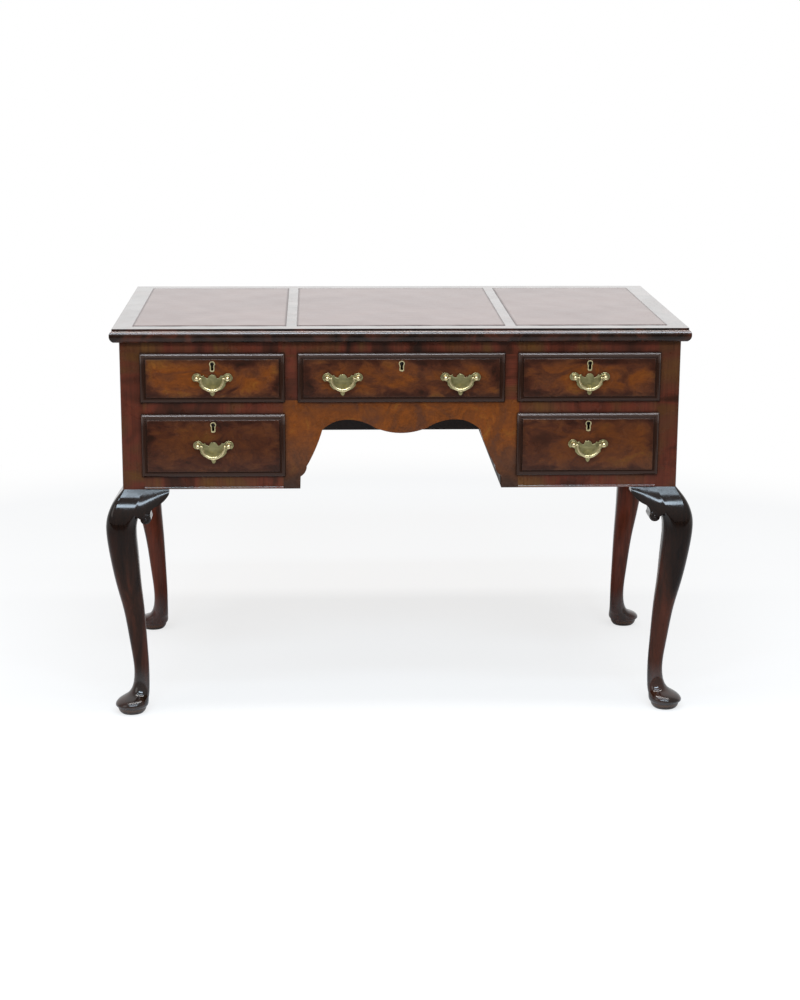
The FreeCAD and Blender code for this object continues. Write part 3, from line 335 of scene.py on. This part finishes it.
def burr_front(name, node, warmth, shade, shift):
    """Drawer front: a blotched burr field that darkens to its margin, and a dark moulded lip round it."""
    finish = Finish(name)
    low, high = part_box(node)
    inward = inward_of(finish, low, high, "xz")
    place = finish.stretched((0.75, 1.0, 1.25), shift)
    drift = finish.add("TexNoise", {"Vector": place, "Scale": 14.0, "Detail": 3.0}).outputs["Color"]
    swirl = finish.add("VectorMath", {0: drift, 1: (BURR_SWIRL,) * 3}, operation="MULTIPLY").outputs[0]
    bent = finish.add("VectorMath", {0: place, 1: swirl}, operation="ADD").outputs[0]
    figure = finish.noise(bent, 21.0, detail=6.0, roughness=0.60, distortion=0.5)
    uneven = finish.math("ADD", inward, finish.mapped(figure, 0.3, 0.7, -MARGIN_WAVER, MARGIN_WAVER))
    glow = finish.mapped(uneven, LIP_WIDTH, LIP_WIDTH + MARGIN_WIDTH, 0.0, warmth, smooth=True)
    field = finish.mixed(glow, finish.ramp(figure, COOL_BURR), finish.ramp(figure, WARM_BURR))
    margin = finish.mapped(uneven, LIP_WIDTH, LIP_WIDTH + MARGIN_WIDTH / 2, 0.50, 0.0, smooth=True)
    field = finish.mixed(finish.math("MAXIMUM", margin, shade), field, NEAR_BLACK)
    on_field = finish.mapped(inward, LIP_WIDTH - LIP_LINE, LIP_WIDTH)
    colour = finish.mixed(on_field, DARK_BROWN, field)
    lip_shine = finish.mapped(finish.along("z"), high.z - LIP_WIDTH * 2, high.z - LIP_WIDTH, 0.26, 1.0)
    past_lip = finish.mapped(inward, LIP_WIDTH + LIP_ROUND, LIP_WIDTH + LIP_ROUND * 1.5)
    shine = finish.mapped(past_lip, 0.0, 1.0, lip_shine, 0.20)
    roughness = finish.mapped(past_lip, 0.0, 1.0, 0.15, 0.24)
    finish.set(specular_tint=WARM_POLISH)
    return polish(finish, colour, *burr_flecks(finish, bent), roughness, shine)


FRONT_SHANK = ((0.30, NEAR_BLACK), (0.46, DARK_BROWN), (0.64, DULL_RED))
REAR_SHANK = ((0.30, DARK_BROWN), (0.44, DULL_RED), (0.60, RED_BROWN))
# Where the veneer of the posts is cut, and how much it is shaded
POST_CUT = (0.3, 0.1, 0.0)
POST_SHADE = 0.18
# Width of the line at which the veneered post starts, and height of the worn edge of the pad
POST_LINE = 0.0002
PAD_TOP = 0.013
# Most that polish has darkened the ankle
ANKLE_DARK = 0.6
SHANK_SHINE = 0.11


def leg_walnut():
    """Dark polished legs, reddest down the rear shanks and worn at the pad; the post above is veneered."""
    finish = Finish("leg_walnut")
    up = finish.along("z")
    figure = finish.noise(finish.drawn_out("z", 0.12), 30.0, roughness=0.6, distortion=0.6)
    at_rear = finish.mapped(finish.along("y"), 0.0, 0.1)
    shank = finish.mixed(at_rear, finish.ramp(figure, FRONT_SHANK), finish.ramp(figure, REAR_SHANK))
    knee = finish.mapped(up, case_low * 0.60, case_low * 0.88, smooth=True)
    ankle = finish.mapped(up, case_low * 0.22, case_low * 0.10, 0.0, ANKLE_DARK, smooth=True)
    leg = finish.mixed(finish.math("MAXIMUM", knee, ankle), shank, NEAR_BLACK)
    worn = finish.mapped(up, PAD_TOP, PAD_TOP * 0.7, 0.0, 0.4)
    leg = finish.mixed(worn, leg, OLIVE_BROWN)
    post = finish.mixed(POST_SHADE, cross_veneer(finish, "x", POST_CUT), NEAR_BLACK)
    on_post = finish.mapped(up, case_low - POST_LINE, case_low)
    knee_top = finish.mapped(up, case_low * 0.82, case_low * 0.94, smooth=True)
    knee_shine = finish.mapped(knee_top, 0.0, 1.0, SHANK_SHINE, 0.45)
    foot_shine = finish.mapped(ankle, 0.0, ANKLE_DARK, SHANK_SHINE, 0.60)
    shine = finish.math("MAXIMUM", knee_shine, foot_shine)
    shine = finish.math("MINIMUM", shine, finish.mapped(on_post, 0.0, 1.0, 1.0, 0.20))
    roughness = finish.mapped(on_post, 0.0, 1.0, 0.115, WAX_ROUGHNESS)
    return polish(finish, finish.mixed(on_post, leg, post), *grain(finish, "z"), roughness, shine)


TOP_TONES = ((0.35, NEAR_BLACK), (0.50, DARK_BROWN), (0.66, DULL_RED))
# How far below the top's surface its high polish reaches, and how thick the coat is below and above that
POLISH_DEPTH = 0.015
THIN_COAT = 0.1
FULL_COAT = 1.0


def top_walnut(name, axis):
    """The top's moulded edge and borders: dark walnut, most highly polished on top."""
    finish = Finish(name)
    figure = finish.noise(finish.place, 22.0, detail=3.0, roughness=0.55, distortion=0.8)
    polish_low = desk_top - POLISH_DEPTH
    polish_high = desk_top - POLISH_DEPTH / 2
    coat = finish.mapped(finish.along("z"), polish_low, polish_high, THIN_COAT, FULL_COAT)
    shine = finish.mapped(coat, THIN_COAT, FULL_COAT, 0.20, 0.8)
    finish.set(specular_tint=WARM_POLISH)
    return polish(finish, finish.ramp(figure, TOP_TONES), *grain(finish, axis), 0.17, shine, coat)


def drawer_oak(name, axis):
    """Bare oak of the drawer linings and runners, dry and a little dusty, with painted shade in its corners.
    """
    finish = Finish(name)
    streaks, pores = grain(finish, axis)
    figure = finish.noise(finish.drawn_out(axis, 0.15), 26.0, roughness=0.6, distortion=1.2)
    colour = finish.ramp(figure, ((0.32, OAK_DARK), (0.66, OAK)))
    colour = finish.mixed(finish.math("MULTIPLY", pores, 0.6), colour, OAK_DARK)
    # Painted shade in the corners of the drawers, with dust
    colour = finish.corner_shade_and_grime(colour, DARK_BROWN, OAK_SHADE_AND_DUST, most=0.6)
    finish.set(base_color=colour, roughness=0.68, specular=0.25)
    finish.emboss(streaks, depth=0.0002, strength=0.5)
    return finish.material


LEATHER_RED = (0.105, 0.040, 0.030)
LEATHER_WORN = (0.160, 0.082, 0.066)
LEATHER_DARK = (0.050, 0.018, 0.015)
# The dark line along a hide's edge, measured in from it
EDGE_DARK = 0.0015
EDGE_CLEAR = 0.0050


def panel_leather(name, low, high):
    """Worn red-brown hide with a waxed shine: fine pebble, scuffs, and a dark line at the edge."""
    finish = Finish(name)
    inward = inward_of(finish, low, high, "xy")
    clouds = finish.noise(finish.place, 7.0, roughness=0.6, distortion=0.5)
    scuffs = finish.noise(finish.stretched((1.0, 4.0, 1.0)), 22.0, detail=5.0, roughness=0.7, distortion=1.0)
    colour = finish.mixed(finish.mapped(clouds, 0.35, 0.70), LEATHER_RED, LEATHER_WORN)
    colour = finish.mixed(finish.mapped(scuffs, 0.60, 0.80, 0.0, 0.5), colour, LEATHER_DARK)
    edge = finish.mapped(inward, EDGE_DARK, EDGE_CLEAR, 0.95, 0.0, smooth=True)
    colour = finish.mixed(edge, colour, LEATHER_DARK)
    bare = finish.math("MULTIPLY", edge, 0.5)
    wax = finish.math("SUBTRACT", finish.mapped(scuffs, 0.35, 0.75, 1.0, 0.72), bare)
    finish.set(base_color=colour, roughness=0.4, specular=0.6, coat=wax, coat_roughness=0.22)
    pebble = finish.add("TexVoronoi", {"Vector": finish.place, "Scale": 900.0}).outputs["Distance"]
    creases = finish.noise(finish.place, 300.0, roughness=0.6)
    finish.emboss(finish.math("ADD", pebble, creases), depth=0.0002, strength=0.2)
    return finish.material


BRASS_BRIGHT = (0.680, 0.570, 0.320)
BRASS_DULL = (0.270, 0.245, 0.110)
BRASS_DARK = (0.050, 0.040, 0.014)
# How near the plane of a plate's face the brass is still unrubbed, and where it is fully rubbed
FACE_NEAR = 0.00004
FACE_FAR = 0.00012
# How much rougher tarnish makes the brass
TARNISH_ROUGH = 0.14


def old_brass(name, face=None, dullness=0.22):
    """Handled brass: rubbed bright on what stands out, dull and greenish on a plate's face at a given Y."""
    finish = Finish(name)
    tarnish = finish.noise(finish.place, 90.0, detail=5.0, roughness=0.62, distortion=0.4)
    colour = finish.mixed(finish.mapped(tarnish, 0.40, 0.75, 0.0, 0.6), BRASS_BRIGHT, BRASS_DULL)
    roughness = finish.mapped(tarnish, 0.3, 0.7, dullness, dullness + TARNISH_ROUGH)
    if face is not None:
        away = finish.math("ABSOLUTE", finish.math("SUBTRACT", finish.along("y"), face))
        on_face = finish.mapped(away, FACE_NEAR, FACE_FAR, 1.0, 0.0)
        dull = finish.mixed(finish.mapped(tarnish, 0.35, 0.75, 0.0, 0.35), BRASS_DULL, BRASS_BRIGHT)
        colour = finish.mixed(on_face, colour, dull)
        roughness = finish.math("ADD", roughness, finish.math("MULTIPLY", on_face, TARNISH_ROUGH))
    # Painted shade and tarnish in the hollows of the brass
    colour = finish.corner_shade_and_grime(colour, BRASS_DARK, BRASS_SHADE_AND_TARNISH, most=0.9)
    finish.set(base_color=colour, metallic=1.0, roughness=roughness)
    dents = finish.noise(finish.place, 420.0, detail=3.0)
    finish.emboss(dents, depth=0.0002, strength=0.35)
    return finish.material


STEEL_DARK = (0.10, 0.095, 0.09)
STEEL_BRIGHT = (0.32, 0.31, 0.29)


def lock_steel():
    """Steel of the lock bolts, streaked by sliding up and down."""
    finish = Finish("lock_steel")
    wear = finish.noise(finish.drawn_out("z", 0.1), 300.0, roughness=0.6)
    colour = finish.ramp(wear, ((0.35, STEEL_DARK), (0.65, STEEL_BRIGHT)))
    finish.set(base_color=colour, metallic=1.0, roughness=finish.mapped(wear, 0.3, 0.7, 0.32, 0.5))
    return finish.material


def dress(node, material):
    """Give a node its finish."""
    for slot in nodes[node].material_slots:
        slot.material = material


def link(name, mesh, node_replaced):
    """Add a finished mesh as a piece that stands for a node."""
    piece = bpy.data.objects.new(name, mesh)
    scene.collection.objects.link(piece)
    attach(piece, body_of[node_replaced])
    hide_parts(node_replaced)
    return piece


# Corners closer than this are one, and faces that turn less than this are one flat
WELD = 0.00001
FLAT_TURN = math.radians(0.5)
# An edge that turns more than this is an arris
SHARP_TURN = math.radians(32)
# A face that looks this straight along an axis is shaded flat
SQUARE_ON = 0.99995
# Facets of a rounded arris, on wood and brass and on leather
ROUND_STEPS = 3
HIDE_STEPS = 2


def soften(node, material, radius, front_of, least=0.0):
    """A copy of a node with its long sharp arrises that lie before a plane rounded, to stand for it."""
    mesh = nodes[node].data.copy()
    mesh.attributes.remove(mesh.attributes["custom_normal"])
    work = bmesh.new()
    work.from_mesh(mesh)
    bmesh.ops.remove_doubles(work, verts=work.verts, dist=WELD)
    bmesh.ops.dissolve_limit(work, angle_limit=FLAT_TURN, verts=work.verts, edges=work.edges)
    sharp = []
    for edge in work.edges:
        before = all(vertex.co.y < front_of for vertex in edge.verts)
        if before and edge.is_convex and edge.calc_face_angle() > SHARP_TURN and edge.calc_length() > least:
            sharp.append(edge)
    bmesh.ops.bevel(
        work, geom=sharp, offset=radius, affect="EDGES", segments=ROUND_STEPS, profile=0.5, material=-1,
    )
    work.normal_update()
    for face in work.faces:
        face.smooth = max(abs(part) for part in face.normal) < SQUARE_ON
    work.to_mesh(mesh)
    work.free()
    mesh.set_sharp_from_angle(angle=SHARP_TURN)
    mesh.materials.clear()
    mesh.materials.append(material)
    link(f"{node}_softened", mesh, node)


# How far a hide stands above the wood, and how much its cut edge is rounded
LEATHER_PROUD = 0.0006
LEATHER_EDGE = 0.0005
# Height of the ripples, and how tightly they follow each other across, front to back, and aslant
LEATHER_RIPPLE = 0.00025
RIPPLES_ACROSS = 61.0
RIPPLES_DEEP = 47.0
RIPPLES_ASLANT = 19.0
LEATHER_CELLS = 48
# An edge of the sheet that turns more than this is its rim, and one that stays crisp turns more than this
RIM_TURN = 1.0
CRISP_TURN = math.radians(50)


def make_leather(node):
    """A hide laid in its recess, a hair proud of the wood, with soft cut edges and faint ripples."""
    low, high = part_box(node)
    size = high - low
    middle = (low + high) / 2
    work = bmesh.new()
    bmesh.ops.create_grid(work, x_segments=LEATHER_CELLS, y_segments=LEATHER_CELLS, size=0.5)
    bmesh.ops.scale(work, vec=(size.x, size.y, 1.0), verts=work.verts)
    bmesh.ops.translate(work, vec=(middle.x, middle.y, low.z), verts=work.verts)
    lifted = bmesh.ops.extrude_face_region(work, geom=work.faces[:])
    upper = [item for item in lifted["geom"] if isinstance(item, bmesh.types.BMVert)]
    bmesh.ops.translate(work, vec=(0.0, 0.0, desk_top + LEATHER_PROUD - low.z), verts=upper)
    bmesh.ops.recalc_face_normals(work, faces=work.faces)
    rim = [edge for edge in work.edges if len(edge.link_faces) == 2 and edge.calc_face_angle() > RIM_TURN]
    bmesh.ops.bevel(
        work, geom=rim, offset=LEATHER_EDGE, affect="EDGES", segments=HIDE_STEPS, profile=0.5, material=-1,
    )
    for vertex in work.verts:
        if vertex.co.z > desk_top:
            across = math.sin(vertex.co.x * RIPPLES_ACROSS)
            deep = math.sin(vertex.co.y * RIPPLES_DEEP + vertex.co.x * RIPPLES_ASLANT)
            vertex.co.z += LEATHER_RIPPLE * (across * deep)
    mesh = bpy.data.meshes.new(f"{node}_hide")
    work.to_mesh(mesh)
    work.free()
    mesh.shade_smooth()
    mesh.set_sharp_from_angle(angle=CRISP_TURN)
    mesh.materials.append(panel_leather(f"{node}_hide", low, high))
    piece = link(f"{node}_hide", mesh, node)


def finish_wood():
    """Dress the case, the legs and the top."""
    dress("top_rail", veneered("top_rail_veneer", "z"))
    dress("drawer_rails", veneered("rail_veneer", "z", beaded=True))
    dress("drawer_dividers", veneered("divider_veneer", "x", (0.7, 0.0, 0.2)))
    dress("apron", apron_walnut())
    dress("side_panels", plain_walnut("side_walnut", "z", SIDE_TONES, roughness=0.34, shine=0.20))
    # The kneehole's inner sides get the near-black tones: painted shade
    dress("kneehole_sides", plain_walnut("kneehole_walnut", "x", SHADED_TONES, roughness=0.45, shine=0.07))
    dress("back_panel", back_walnut())
    legs = leg_walnut()
    for node in LEGS + ("knee_brackets",):
        dress(node, legs)
    dress("top_edging", top_walnut("edging_walnut", "x"))
    dress("top_board", top_walnut("border_walnut", "y"))


# A lip's arrises are longer than this; the short edges at its corners and in the keyhole stay crisp
LIP_LEAST = 0.05
# Rounding of a handle plate's arrises, and its thickness
BRASS_ROUND = 0.0005
PLATE_THICK = 0.0018


def finish_drawers():
    """Dress the drawers, their handles and locks, and round the lips and the brass plates."""
    lengthwise = drawer_oak("lining_oak", "y")
    crosswise = drawer_oak("bottom_oak", "x")
    lip_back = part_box("top_rail")[0].y
    plate_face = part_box("drawer_front_upper_left")[0].y - PLATE_THICK
    plate_brass = old_brass("plate_brass", plate_face)
    bright_brass = old_brass("bright_brass")
    lock_brass = old_brass("lock_brass", dullness=0.48)
    steel = lock_steel()
    for drawer in DRAWERS:
        front = f"drawer_front_{drawer}"
        burr = burr_front(f"{drawer}_burr", front, *BURRS[drawer])
        soften(front, burr, LIP_ROUND, lip_back, LIP_LEAST)
        soften(f"handle_{drawer}", plate_brass, BRASS_ROUND, lip_back)
        dress(f"drawer_sides_{drawer}", lengthwise)
        dress(f"drawer_back_{drawer}", crosswise)
        dress(f"drawer_bottom_{drawer}", crosswise)
        dress(f"lock_{drawer}", lock_brass)
        dress(f"lock_bolt_{drawer}", steel)
    for node in nodes:
        if node.startswith("bail_"):
            dress(node, bright_brass)
    for node in ("drawer_runners", "drawer_stops"):
        dress(node, lengthwise)


# Studio: a white sweep under and behind the desk, and a dim room before it
FLOOR_SIZE = 30.0
SWEEP_END = -1.5
SWEEP_FADE = 0.6
SWEEP_WHITE = (0.93, 0.93, 0.93)
ROOM_GREY = (0.12, 0.12, 0.12)
# Distances between which the floor turns to plain white, and the share of white in it nearer by
FLOOR_NEAR = 0.9
FLOOR_FAR = 2.2
FLOOR_LIFT = 0.72


def make_floor():
    """White where the camera looks; before the sweep's end, reflections show the dim floor of the room."""
    work = bmesh.new()
    bmesh.ops.create_grid(work, x_segments=1, y_segments=1, size=FLOOR_SIZE / 2)
    mesh = bpy.data.meshes.new("studio_floor")
    work.to_mesh(mesh)
    work.free()
    finish = Finish("studio_floor")
    distance = finish.add("VectorMath", {0: finish.place}, operation="LENGTH").outputs["Value"]
    far = finish.mapped(distance, FLOOR_NEAR, FLOOR_FAR, smooth=True)
    on_sweep = finish.mapped(finish.along("y"), SWEEP_END - SWEEP_FADE, SWEEP_END, smooth=True)
    colour = finish.mixed(on_sweep, ROOM_GREY, SWEEP_WHITE)
    finish.set(base_color=colour, roughness=0.9, specular=0.0)
    seen, mirrored = finish.rays()
    mirrored = finish.math("MULTIPLY", mirrored, finish.math("MULTIPLY", far, on_sweep))
    lifted = finish.math("MAXIMUM", far, FLOOR_LIFT)
    shown = finish.math("MAXIMUM", mirrored, finish.math("MULTIPLY", seen, lifted))
    white = finish.add("Emission", {"Color": WHITE, "Strength": 1.0})
    mix = finish.add("MixShader", {0: shown, 1: finish.shader.outputs[0], 2: white.outputs[0]})
    finish.put(finish.tree.nodes["Material Output"].inputs["Surface"], mix.outputs[0])
    mesh.materials.append(finish.material)
    floor = bpy.data.objects.new("studio_floor", mesh)
    scene.collection.objects.link(floor)


# Strength of the dim room before the desk and of the fill from all round; the backdrop's is 1
SKY_FILL = 0.45
# How far a direction leans to the back where the backdrop starts, and where it is full
BACKDROP_START = 0.1
BACKDROP_FULL = 0.4


def make_world():
    """A white backdrop, also in reflections of what lies behind the desk, and a dimmer room in front."""
    world = bpy.data.worlds.new("studio_world")
    world.use_nodes = True
    scene.world = world
    sky = Recipe(world.node_tree)
    seen, mirrored = sky.rays()
    direction = sky.add("SeparateXYZ", {0: sky.add("TexCoord").outputs["Generated"]}).outputs
    behind = sky.mapped(direction["Y"], BACKDROP_START, BACKDROP_FULL)
    shown = sky.math("MAXIMUM", seen, sky.math("MULTIPLY", mirrored, behind))
    background = sky.tree.nodes["Background"].inputs
    sky.put(background["Color"], WHITE)
    sky.put(background["Strength"], sky.mapped(shown, 0.0, 1.0, SKY_FILL, 1.0))


COOL_LIGHT = (0.70, 0.86, 1.0)
NEUTRAL_LIGHT = (1.0, 0.97, 0.95)
LIT_PLACE = (0.0, -0.3, 0.5)

# Lamps: place, width, height, glow and colour. Long strips draw lines on the mouldings and the knees
LAMPS = {
    "front_strip": ((0.0, -3.0, 3.0), 3.2, 0.50, 17.0, COOL_LIGHT),
    "middle_strip": ((0.0, -1.5, 3.3), 3.2, 0.22, 13.0, COOL_LIGHT),
    "top_strip": ((0.0, -0.5, 3.3), 3.2, 0.34, 14.0, NEUTRAL_LIGHT),
    "side_box": ((-2.6, -1.6, 1.9), 1.2, 1.6, 1.2, NEUTRAL_LIGHT),
}


def soft_box(name, place, width, height, glow, colour):
    """A soft rectangular lamp of an even glow, turned to the desk."""
    lamp = bpy.data.lights.new(name, "AREA")
    lamp.shape = "RECTANGLE"
    lamp.size = width
    lamp.size_y = height
    lamp.energy = glow * math.pi * width * height
    lamp.color = colour
    holder = bpy.data.objects.new(name, lamp)
    holder.location = place
    holder.rotation_euler = (Vector(LIT_PLACE) - Vector(place)).to_track_quat("-Z", "Y").to_euler()
    holder.visible_camera = False
    scene.collection.objects.link(holder)


# Camera, as the photograph was taken
CAMERA_PLACE = (-0.165, -4.1155, 1.3552)
CAMERA_YAW = math.radians(2.44)
CAMERA_PITCH = math.radians(13.62)
CAMERA_ROLL = math.radians(0.25)
CAMERA_LENS = 73.6
CAMERA_REACH = 100.0


def make_camera():
    """A camera at its place, turned by its yaw, its pitch and a slight roll."""
    camera = bpy.data.cameras.new("camera")
    camera.lens = CAMERA_LENS
    camera.clip_end = CAMERA_REACH
    holder = bpy.data.objects.new("camera", camera)
    ahead = Vector((
        math.sin(CAMERA_YAW) * math.cos(CAMERA_PITCH),
        math.cos(CAMERA_YAW) * math.cos(CAMERA_PITCH),
        -math.sin(CAMERA_PITCH),
    ))
    level = Vector((math.cos(CAMERA_YAW), -math.sin(CAMERA_YAW), 0.0))
    upright = level.cross(ahead)
    right = level * math.cos(CAMERA_ROLL) + upright * math.sin(CAMERA_ROLL)
    up = upright * math.cos(CAMERA_ROLL) - level * math.sin(CAMERA_ROLL)
    turn = Matrix((right, up, -ahead)).transposed().to_4x4()
    holder.matrix_world = Matrix.Translation(CAMERA_PLACE) @ turn
    scene.collection.objects.link(holder)
    scene.camera = holder


finish_wood()
finish_drawers()
for leather in LEATHERS:
    make_leather(leather)
make_floor()
make_world()
for lamp_name, lamp_values in LAMPS.items():
    soft_box(lamp_name, *lamp_values)
make_camera()
scene.view_settings.view_transform = "Standard"

bpy.context.view_layer.update()
